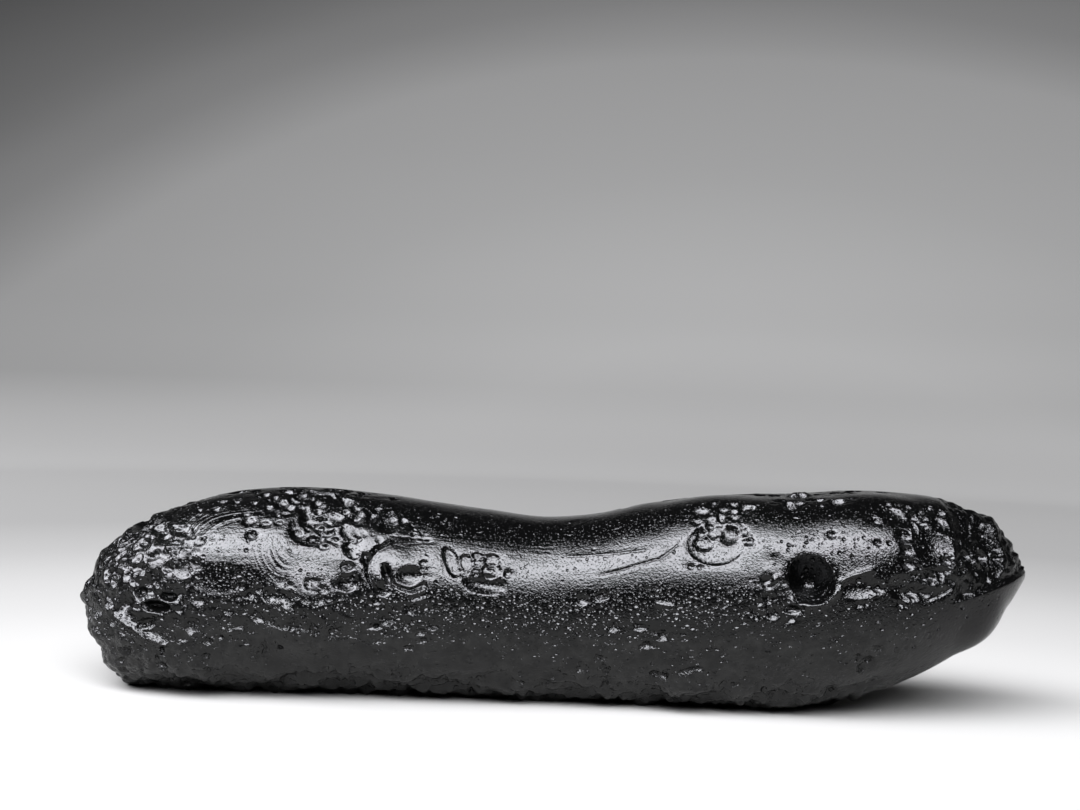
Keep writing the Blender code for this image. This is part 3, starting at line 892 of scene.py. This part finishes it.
# Flow lines, about 0.4 mm apart and 6 mm long: waves of their noise for each millimetre along and across.
FLOW_WAVES = (0.16, 2.4, 1.0)
GLOSS = (0.1, 0.2)  # roughness of the plain skin and of the froth
MATT_ROUGHNESS = 0.12  # how much more where it is matt
DUST_COLOUR = "#1c1c1b"
DUST_SIZE = 1.6  # millimetres across a blotch of it
DUST_EDGE = (0.42, 0.68)  # shares of the noise between which it thickens


def etched_glass(settings):
    """Tektite glass: black impact glass whose skin froze in flight and was then etched by ground water. The
    etch leaves a satin skin of tiny dimples and pits, shallower on the walls of burst bubbles, that breaks a
    soft light into sparks. The worn flank and foot are duller, and hold a thin film of dust."""
    # Such glass has an index of about 1.5, and the skin's finest pits trap part of what it would mirror.
    material, tree, surface = new_material("etched impact glass", {"IOR": 1.5, "Specular IOR Level": 0.3})
    place = add_node(tree, "ShaderNodeTexCoord").outputs["Object"]
    froth, pepper, matt = (
        add_node(tree, "ShaderNodeAttribute", attribute_name=name).outputs["Fac"]
        for name in ("froth", "pepper", "matt")
    )

    # Heights in millimetres: orange peel, pits and small bubbles, flow lines and whirls.
    peel = add_node(
        tree, NOISE, {"Vector": place, "Scale": 1 / (PEEL_SIZE * MM), "Detail": 1.0, "Roughness": 0.7}
    )
    etched = add_node(tree, MATH, (matt, PEEL_MATT, 1.0), operation="MULTIPLY_ADD")
    spared = add_node(tree, MATH, (froth, PEEL_FROTH, etched), operation="MULTIPLY_ADD")
    grain = add_node(tree, MATH, (peel, spared), operation="MULTIPLY")
    height = add_node(tree, MATH, (grain, settings.peel / MM), operation="MULTIPLY")
    few, fewer = (
        add_node(tree, MAP_RANGE, {"Value": pepper, "To Min": least, "To Max": most})
        for least, most in (PEPPERED, THINLY_PEPPERED)
    )
    masks = {
        "all over": PITS_ALL_OVER,
        "peppered": few,
        "thinly peppered": fewer,
        "frothy": froth,
        "matt": matt,
    }
    for where, spacing, radius, flatness, depth, shift in PITS:
        bowl = burst_bubbles(tree, place, masks[where], spacing * MM, radius, flatness, shift)
        height = add_node(tree, MATH, (bowl, -spacing * depth, height), operation="MULTIPLY_ADD")
    stored = add_node(tree, "ShaderNodeAttribute", attribute_name="flow").outputs["Vector"]
    flow = add_node(tree, "ShaderNodeSeparateXYZ", [stored]).outputs
    stretched = add_node(tree, "ShaderNodeCombineXYZ", (flow[0], flow[1]))
    scaled = add_node(tree, VECTOR_MATH, (stretched, FLOW_WAVES), operation="MULTIPLY")
    lines = add_node(tree, NOISE, {"Vector": scaled, "Scale": 1.0, "Detail": 1.0}, noise_dimensions="2D")
    centred = add_node(tree, MATH, (lines, 0.5), operation="SUBTRACT")
    drawn = add_node(tree, MATH, (centred, flow[2]), operation="MULTIPLY")
    depth = settings.flow_depth / MM
    height = add_node(tree, MATH, (drawn, depth, height), operation="MULTIPLY_ADD")
    for row in WHIRLS:
        height = whirl_lines(tree, place, height, row, settings.whirl_depth)
    bump = add_node(tree, "ShaderNodeBump", {"Height": height, "Strength": 1.0, "Distance": 1 * MM})
    tree.links.new(bump.outputs[0], surface["Normal"])

    rough = add_node(tree, MAP_RANGE, {"Value": froth, "To Min": GLOSS[0], "To Max": GLOSS[1]})
    worn = add_node(tree, MATH, (matt, MATT_ROUGHNESS, rough), operation="MULTIPLY_ADD")
    tree.links.new(worn.outputs[0], surface["Roughness"])
    dust = add_node(
        tree, NOISE, {"Vector": place, "Scale": 1 / (DUST_SIZE * MM), "Detail": 4.0, "Roughness": 0.75}
    )
    dusty = add_node(tree, MAP_RANGE, {"Value": dust, "From Min": DUST_EDGE[0], "From Max": DUST_EDGE[1]})
    held = add_node(tree, MATH, (dusty, matt), operation="MULTIPLY", use_clamp=True)
    colours = {0: held, MIX_A: (*settings.colour, 1.0), MIX_B: linear(DUST_COLOUR)}
    colour = add_node(tree, MIX, colours, data_type="RGBA")
    tree.links.new(colour.outputs[MIX_OUT], surface["Base Color"])
    return material


# How pale the card is, as the share of light it gives back, with the studio's light and shade painted into
# its colour: on the flat, a painted pool of light that fades by metres from its palest place; and on the
# sweep, a painted glow that fades by metres from its middle behind the stone. Both are multiplied by the
# shares of the last table, by metres towards the back, which are painted shade that darkens the card before
# the stone.
CARD_FLAT_PAINTED_LIGHT = (
    (0.0, 0.2003),
    (0.07, 0.2003),
    (0.093, 0.1941),
    (0.115, 0.1753),
    (0.141, 0.1603),
    (0.178, 0.1327),
    (0.2286, 0.1126),
    (0.4, 0.1251),
    (0.65, 0.1251),
)
CARD_SWEEP_PAINTED_LIGHT = (
    (0.0, 0.1094),
    (0.145, 0.1094),
    (0.193, 0.09963),
    (0.225, 0.09363),
    (0.259, 0.08626),
    (0.348, 0.07536),
    (0.37, 0.06199),
    (0.391, 0.0499),
    (0.4086, 0.045),
    (0.427, 0.03645),
    (0.441, 0.03154),
    (0.503, 0.017),
    (0.6, 0.007272),
)
# Painted shade: the card is darkened before the stone, under the lamp, so that the stone mirrors a dark room
# in front.
CARD_FRONT_PAINTED_SHADE = ((-0.6, 0.02), (-0.3, 0.04), (-0.15, 0.12), (-0.06, 1.0), (0.0, 1.0))
PAINTED_POOL_MIDDLE = (0.0, -0.05, 0.0)
PAINTED_GLOW_MIDDLE = (0.085, 0.0, -0.05)
PAINTED_GLOW_SHAPE = (1.0, 0.0, 1.4)  # the painted glow is lower than it is wide, and the same at any depth
CARD_RISE = (0.002, 0.03)  # heights between which the flat's shade gives way to the sweep's
CARD_TINT = "#fffef8"  # a warm white


def painted_light_card():
    """Matte card with the studio's light and shade painted into its colour: a painted pool of light, palest a
    little before the stone, grey further off, and painted shade darker still where it sweeps up, so that the
    stone's edges stay clear of it. The card is dull and a little warm, and mirrors nothing."""
    material, tree, surface = new_material("matte card with painted light and shade", {"Roughness": 0.9, "Specular IOR Level": 0.1})
    place = add_node(tree, "ShaderNodeTexCoord").outputs["Object"]
    height = add_node(tree, "ShaderNodeSeparateXYZ", [place]).outputs
    from_painted_pool = add_node(tree, VECTOR_MATH, (place, PAINTED_POOL_MIDDLE), operation="SUBTRACT")
    from_painted_glow = add_node(tree, VECTOR_MATH, (place, PAINTED_GLOW_MIDDLE), operation="SUBTRACT")
    squashed = add_node(tree, VECTOR_MATH, (from_painted_glow, PAINTED_GLOW_SHAPE), operation="MULTIPLY")
    floor, sweep = (
        add_node(tree, VECTOR_MATH, [away], operation="LENGTH").outputs["Value"]
        for away in (from_painted_pool, squashed)
    )
    shades = []
    # The three tables are painted light and shade: the pool of light on the flat, the glow on the sweep, and
    # the shade before the stone.
    for reach, stops in ((floor, CARD_FLAT_PAINTED_LIGHT), (sweep, CARD_SWEEP_PAINTED_LIGHT), (height[1], CARD_FRONT_PAINTED_SHADE)):
        start, far = stops[0][0], stops[-1][0]
        share = add_node(tree, MAP_RANGE, {"Value": reach, "From Min": start, "From Max": far})
        ramp = add_node(tree, "ShaderNodeValToRGB", [share])
        marks = ramp.color_ramp.elements
        marks[0].color = (stops[0][1],) * 3 + (1.0,)
        marks[1].color = (stops[-1][1],) * 3 + (1.0,)
        for metres, shade in stops[1:-1]:
            marks.new((metres - start) / (far - start)).color = (shade,) * 3 + (1.0,)
        shades.append(ramp.outputs[0])
    rise = add_node(tree, MAP_RANGE, {"Value": height[2], "From Min": CARD_RISE[0], "From Max": CARD_RISE[1]})
    shade = add_node(tree, MIX, {0: rise, MIX_A: shades[0], MIX_B: shades[1]}, data_type="RGBA")
    for other in (shades[2], linear(CARD_TINT)):
        both = {0: 1.0, MIX_A: shade.outputs[MIX_OUT], MIX_B: other}
        shade = add_node(tree, MIX, both, data_type="RGBA", blend_type="MULTIPLY")
    tree.links.new(shade.outputs[MIX_OUT], surface["Base Color"])
    return material


# ---------------------------------------------------------------------------------------------------------
# Properties
# ---------------------------------------------------------------------------------------------------------


class TektiteSettings(bpy.types.PropertyGroup):
    """Sizes and colours of the stone's skin."""

    colour: FloatVectorProperty(
        name="Glass colour",
        description="Colour of the glass under its gloss",
        subtype="COLOR",
        default=linear("#020202")[:3],
        min=0,
        max=1,
    )
    spacing: FloatProperty(
        name="Bubble spacing",
        description="Distance between burst bubbles in the frothy patches",
        default=2.4 * MM,
        unit="LENGTH",
    )
    small_spacing: FloatProperty(
        name="Small bubble spacing",
        description="Distance between the smaller bubbles between them",
        default=1.5 * MM,
        unit="LENGTH",
    )
    peel: FloatProperty(
        name="Etch depth",
        description="Depth of the tiny dimples that ground water etched",
        default=0.045 * MM,
        unit="LENGTH",
    )
    flow_depth: FloatProperty(
        name="Flow line depth", description="Depth of the fine flow lines", default=0.04 * MM, unit="LENGTH"
    )
    whirl_depth: FloatProperty(
        name="Whirl line depth", description="Depth of the arcs in whirls", default=0.15 * MM, unit="LENGTH"
    )
    seed: IntProperty(name="Seed", description="Which scatter of bubbles to use", default=3, min=0)
    triangles: IntProperty(
        name="Triangles", description="How many triangles the skin keeps", default=196000, min=1000
    )


class StudioSettings(bpy.types.PropertyGroup):
    """The card, the soft light and the camera."""

    light_radiance: FloatProperty(
        name="Light", description="Brightness of the soft light's face", default=28.6, min=0
    )
    light_elevation: FloatProperty(
        name="Light elevation",
        description="Height of the soft light above the horizon",
        default=math.radians(54),
        subtype="ANGLE",
    )
    light_distance: FloatProperty(
        name="Light distance", description="From the stone to the light", default=1.0, unit="LENGTH"
    )
    light_side: FloatProperty(
        name="Light side",
        description="How far the soft light stands to the left of the camera",
        default=math.radians(27),
        subtype="ANGLE",
    )
    light_width: FloatProperty(
        name="Light width", description="Width of the soft light", default=2.4, unit="LENGTH"
    )
    light_height: FloatProperty(
        name="Light height", description="Height of the soft light", default=1.0, unit="LENGTH"
    )
    light_colour: FloatVectorProperty(
        name="Light colour",
        description="Colour of the soft light",
        subtype="COLOR",
        default=linear("#f7f8ff")[:3],
        min=0,
        max=1,
    )
    room: FloatProperty(name="Room", description="Brightness of the dim room", default=0.015, min=0)


# ---------------------------------------------------------------------------------------------------------
# Operators
# ---------------------------------------------------------------------------------------------------------

# The mesh before it is thinned: cells along the tube and round a quarter of it, and the share of the rod's
# length that each end's cap takes.
CELLS_ALONG = 820
CELLS_PER_QUARTER = 132
CAP_SHARE = 0.09
PIECE = "tektite_skin"


class TEKTITE_OT_build_stone(bpy.types.Operator):
    """Build the stone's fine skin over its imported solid"""

    bl_idname = "tektite.build_stone"
    bl_label = "Build the stone"

    def execute(self, context):
        settings = context.scene.tektite
        shares, turns, quads = rod_grid(CELLS_ALONG, CELLS_PER_QUARTER, CAP_SHARE)
        plain = loft(shares, turns)
        degrees = wrapped(np.degrees(turns))
        along = plain[:, 0]
        away = outward(plain, quads)
        points = plain + away * relief(plain, degrees)[:, None]
        mesh = bpy.data.meshes.new(PIECE)
        mesh.from_pydata((points * MM).tolist(), [], quads.tolist())
        for name, kind, values in (
            ("outward", "FLOAT_VECTOR", away),
            ("plain", "FLOAT_VECTOR", plain * MM),
            ("flow", "FLOAT_VECTOR", flow_map(along, degrees)),
            ("froth", "FLOAT", spots(along, degrees, FROTH)),
            ("steepness", "FLOAT", steepness(degrees)),
            ("pepper", "FLOAT", spots(along, degrees, PEPPER)),
            ("matt", "FLOAT", matt_share(plain, degrees)),
        ):
            attribute = mesh.attributes.new(name, kind, "POINT")
            attribute.data.foreach_set("vector" if kind == "FLOAT_VECTOR" else "value", values.ravel())
        piece = bpy.data.objects.new(PIECE, mesh)
        context.scene.collection.objects.link(piece)
        loose = piece.vertex_groups.new(name="loose")
        loose.add(np.flatnonzero(~finely_worked(along, degrees)).tolist(), 1.0, "REPLACE")
        froth = piece.modifiers.new("froth", "NODES")
        froth.node_group = froth_tree()
        given = {
            "Mask": "froth",
            "Spacing": settings.spacing,
            "Small Spacing": settings.small_spacing,
            "Seed": float(settings.seed),
            "Material": etched_glass(settings),
        }
        for item in froth.node_group.interface.items_tree:
            if item.in_out == "INPUT" and item.name in given:
                froth[item.identifier] = given[item.name]
        thin = piece.modifiers.new("thin", "DECIMATE")
        thin.ratio = settings.triangles / (2 * len(quads))
        thin.use_collapse_triangulate = True
        thin.vertex_group = loose.name
        thin.vertex_group_factor = 0
        evaluated = piece.evaluated_get(context.evaluated_depsgraph_get())
        finished = bpy.data.meshes.new_from_object(evaluated)
        piece.modifiers.clear()
        piece.data = finished
        bpy.data.meshes.remove(mesh)
        # The underside is worn flat where it rests, so nothing stands below the floor.
        places = np.empty(len(finished.vertices) * 3, np.float32)
        finished.vertices.foreach_get("co", places)
        places[2::3] = np.maximum(places[2::3], 0)
        finished.vertices.foreach_set("co", places)
        finished.update()
        finished.shade_smooth()
        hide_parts("tektite")
        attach(piece, "root")
        return {"FINISHED"}


# The soft light is brightest in the middle: how far in from its ends and sides it is dimmer, as a share of
# its size, and the share of light left at the rim; and how bright its left and right ends are beside its
# middle.
LIGHT_END_RIM = 0.45
LIGHT_SIDE_RIM = 0.12
LIGHT_RIM_SHARE = 0.12
LIGHT_LEFT = 1.12
LIGHT_RIGHT = 0.88
# Stations of the card: distance from the middle and height, in metres.
CARD = (
    (0.0, 0.0),
    (0.2, 0.0),
    (0.36, 0.002),
    (0.44, 0.018),
    (0.51, 0.05),
    (0.57, 0.11),
    (0.6, 0.18),
    (0.615, 0.26),
    (0.62, 0.36),
)
CARD_LEVEL = 0.2  # metres from the middle within which it is quite flat
CARD_RINGS = 60  # of points, with the one in the middle
CARD_SIDES = 128
CARD_DIP = 0.5  # how much lower the card stands before the stone, where the light comes in
CAMERA_PLACE = (-0.0023, -0.1595, 0.0334)
CAMERA_DIP = math.radians(0.98)
CAMERA_ROLL = math.radians(2.03)
CAMERA_LENS = 50.0  # millimetres on a 36 mm sensor
CAMERA_NEAR = 0.001  # metres


def card():
    """One sheet of card, flat under the stone and swept up all round it."""
    stations = np.array(CARD)
    radii = np.linspace(0, stations[-1, 0], CARD_RINGS)[1:]
    heights = np.maximum(smooth_through(stations[:, 0], stations[:, 1], radii), 0)
    heights[radii < CARD_LEVEL] = 0
    sides = np.arange(CARD_SIDES) / CARD_SIDES * 2 * math.pi
    low = 1 - CARD_DIP * falloff(-np.sin(sides), 0, 1)
    rings = [
        (reach * math.cos(side), reach * math.sin(side), height * share)
        for reach, height in zip(radii, heights)
        for side, share in zip(sides, low)
    ]
    index = np.arange(len(rings)).reshape(len(radii), CARD_SIDES) + 1
    here, out = index[:-1], index[1:]
    quads = np.stack([here, out, np.roll(out, -1, 1), np.roll(here, -1, 1)], -1).reshape(-1, 4)
    middle = [(0, a, b) for a, b in zip(index[0], np.roll(index[0], -1))]
    mesh = bpy.data.meshes.new("card")
    mesh.from_pydata([(0, 0, 0), *rings], [], middle + quads.tolist())
    mesh.shade_smooth()
    return mesh


def soft_light(settings):
    """A wide soft light above the card and to the left, brightest in its middle."""
    lamp = bpy.data.lights.new("soft light", "AREA")
    lamp.shape = "RECTANGLE"
    lamp.size = settings.light_width
    lamp.size_y = settings.light_height
    lamp.energy = settings.light_radiance * math.pi * settings.light_width * settings.light_height
    lamp.color = settings.light_colour
    lamp.use_nodes = True
    tree = lamp.node_tree
    over = add_node(tree, "ShaderNodeNewGeometry").outputs["Parametric"]
    across = add_node(tree, "ShaderNodeSeparateXYZ", [over]).outputs
    glow = 1.0
    for share, rim in ((across[0], LIGHT_SIDE_RIM), (across[1], LIGHT_END_RIM)):
        off = add_node(tree, MATH, (share, 0.5), operation="SUBTRACT")
        far = add_node(tree, MATH, [off], operation="ABSOLUTE")
        limits = {"From Min": 0.5, "From Max": 0.5 - rim, "To Min": LIGHT_RIM_SHARE}
        fade = add_node(tree, MAP_RANGE, {"Value": far, **limits}, interpolation_type="SMOOTHSTEP")
        glow = add_node(tree, MATH, (fade, glow), operation="MULTIPLY")
    lean = add_node(tree, MAP_RANGE, {"Value": across[0], "To Min": LIGHT_LEFT, "To Max": LIGHT_RIGHT})
    glow = add_node(tree, MATH, (lean, glow), operation="MULTIPLY")
    tree.links.new(glow.outputs[0], tree.nodes["Emission"].inputs["Strength"])
    light = bpy.data.objects.new("soft light", lamp)
    up, side = settings.light_elevation, settings.light_side
    towards = Vector((-math.cos(up) * math.sin(side), -math.cos(up) * math.cos(side), math.sin(up)))
    light.location = towards * settings.light_distance
    light.rotation_euler = towards.to_track_quat("Z", "Y").to_euler()
    return light


def still_camera():
    """A camera in front of the stone, dipped towards it and rolled a little."""
    lens = bpy.data.cameras.new("camera")
    lens.lens = CAMERA_LENS
    lens.clip_start = CAMERA_NEAR
    camera = bpy.data.objects.new("camera", lens)
    ahead = Vector((0, math.cos(CAMERA_DIP), -math.sin(CAMERA_DIP)))
    level = Matrix.Rotation(-CAMERA_ROLL, 3, ahead) @ Vector((1, 0, 0))
    axes = Matrix((level, level.cross(ahead), -ahead)).transposed()
    camera.matrix_world = Matrix.Translation(CAMERA_PLACE) @ axes.to_4x4()
    return camera


class TEKTITE_OT_build_studio(bpy.types.Operator):
    """Build the card, the soft light, the dim room and the camera"""

    bl_idname = "tektite.build_studio"
    bl_label = "Build the studio"

    def execute(self, context):
        scene = context.scene
        floor = bpy.data.objects.new("card", card())
        # The card's colour holds painted light and shade.
        floor.data.materials.append(painted_light_card())
        camera = still_camera()
        for each in (floor, soft_light(scene.studio), camera):
            scene.collection.objects.link(each)
        scene.camera = camera
        scene.world = bpy.data.worlds.new("room")
        scene.world.use_nodes = True
        room = scene.world.node_tree.nodes["Background"].inputs
        room["Color"].default_value = (1.0, 1.0, 1.0, 1.0)
        room["Strength"].default_value = scene.studio.room
        scene.view_settings.view_transform = "Standard"
        return {"FINISHED"}


class TEKTITE_PT_panel(bpy.types.Panel):
    """The stone's and the studio's settings"""

    bl_idname = "TEKTITE_PT_panel"
    bl_label = "Tektite"
    bl_space_type = "VIEW_3D"
    bl_region_type = "UI"
    bl_category = "Tektite"

    def draw(self, context):
        scene = context.scene
        for group, operator in (
            (scene.tektite, TEKTITE_OT_build_stone.bl_idname),
            (scene.studio, TEKTITE_OT_build_studio.bl_idname),
        ):
            for name in group.bl_rna.properties.keys():
                if name not in ("rna_type", "name"):
                    self.layout.prop(group, name)
            self.layout.operator(operator)


CLASSES = (
    TektiteSettings,
    StudioSettings,
    TEKTITE_OT_build_stone,
    TEKTITE_OT_build_studio,
    TEKTITE_PT_panel,
)


def register():
    for each in CLASSES:
        bpy.utils.register_class(each)
    bpy.types.Scene.tektite = PointerProperty(type=TektiteSettings)
    bpy.types.Scene.studio = PointerProperty(type=StudioSettings)


def unregister():
    del bpy.types.Scene.studio
    del bpy.types.Scene.tektite
    for each in reversed(CLASSES):
        bpy.utils.unregister_class(each)


def main():
    register()
    bpy.ops.tektite.build_stone()
    bpy.ops.tektite.build_studio()


if __name__ == "__main__":
    main()
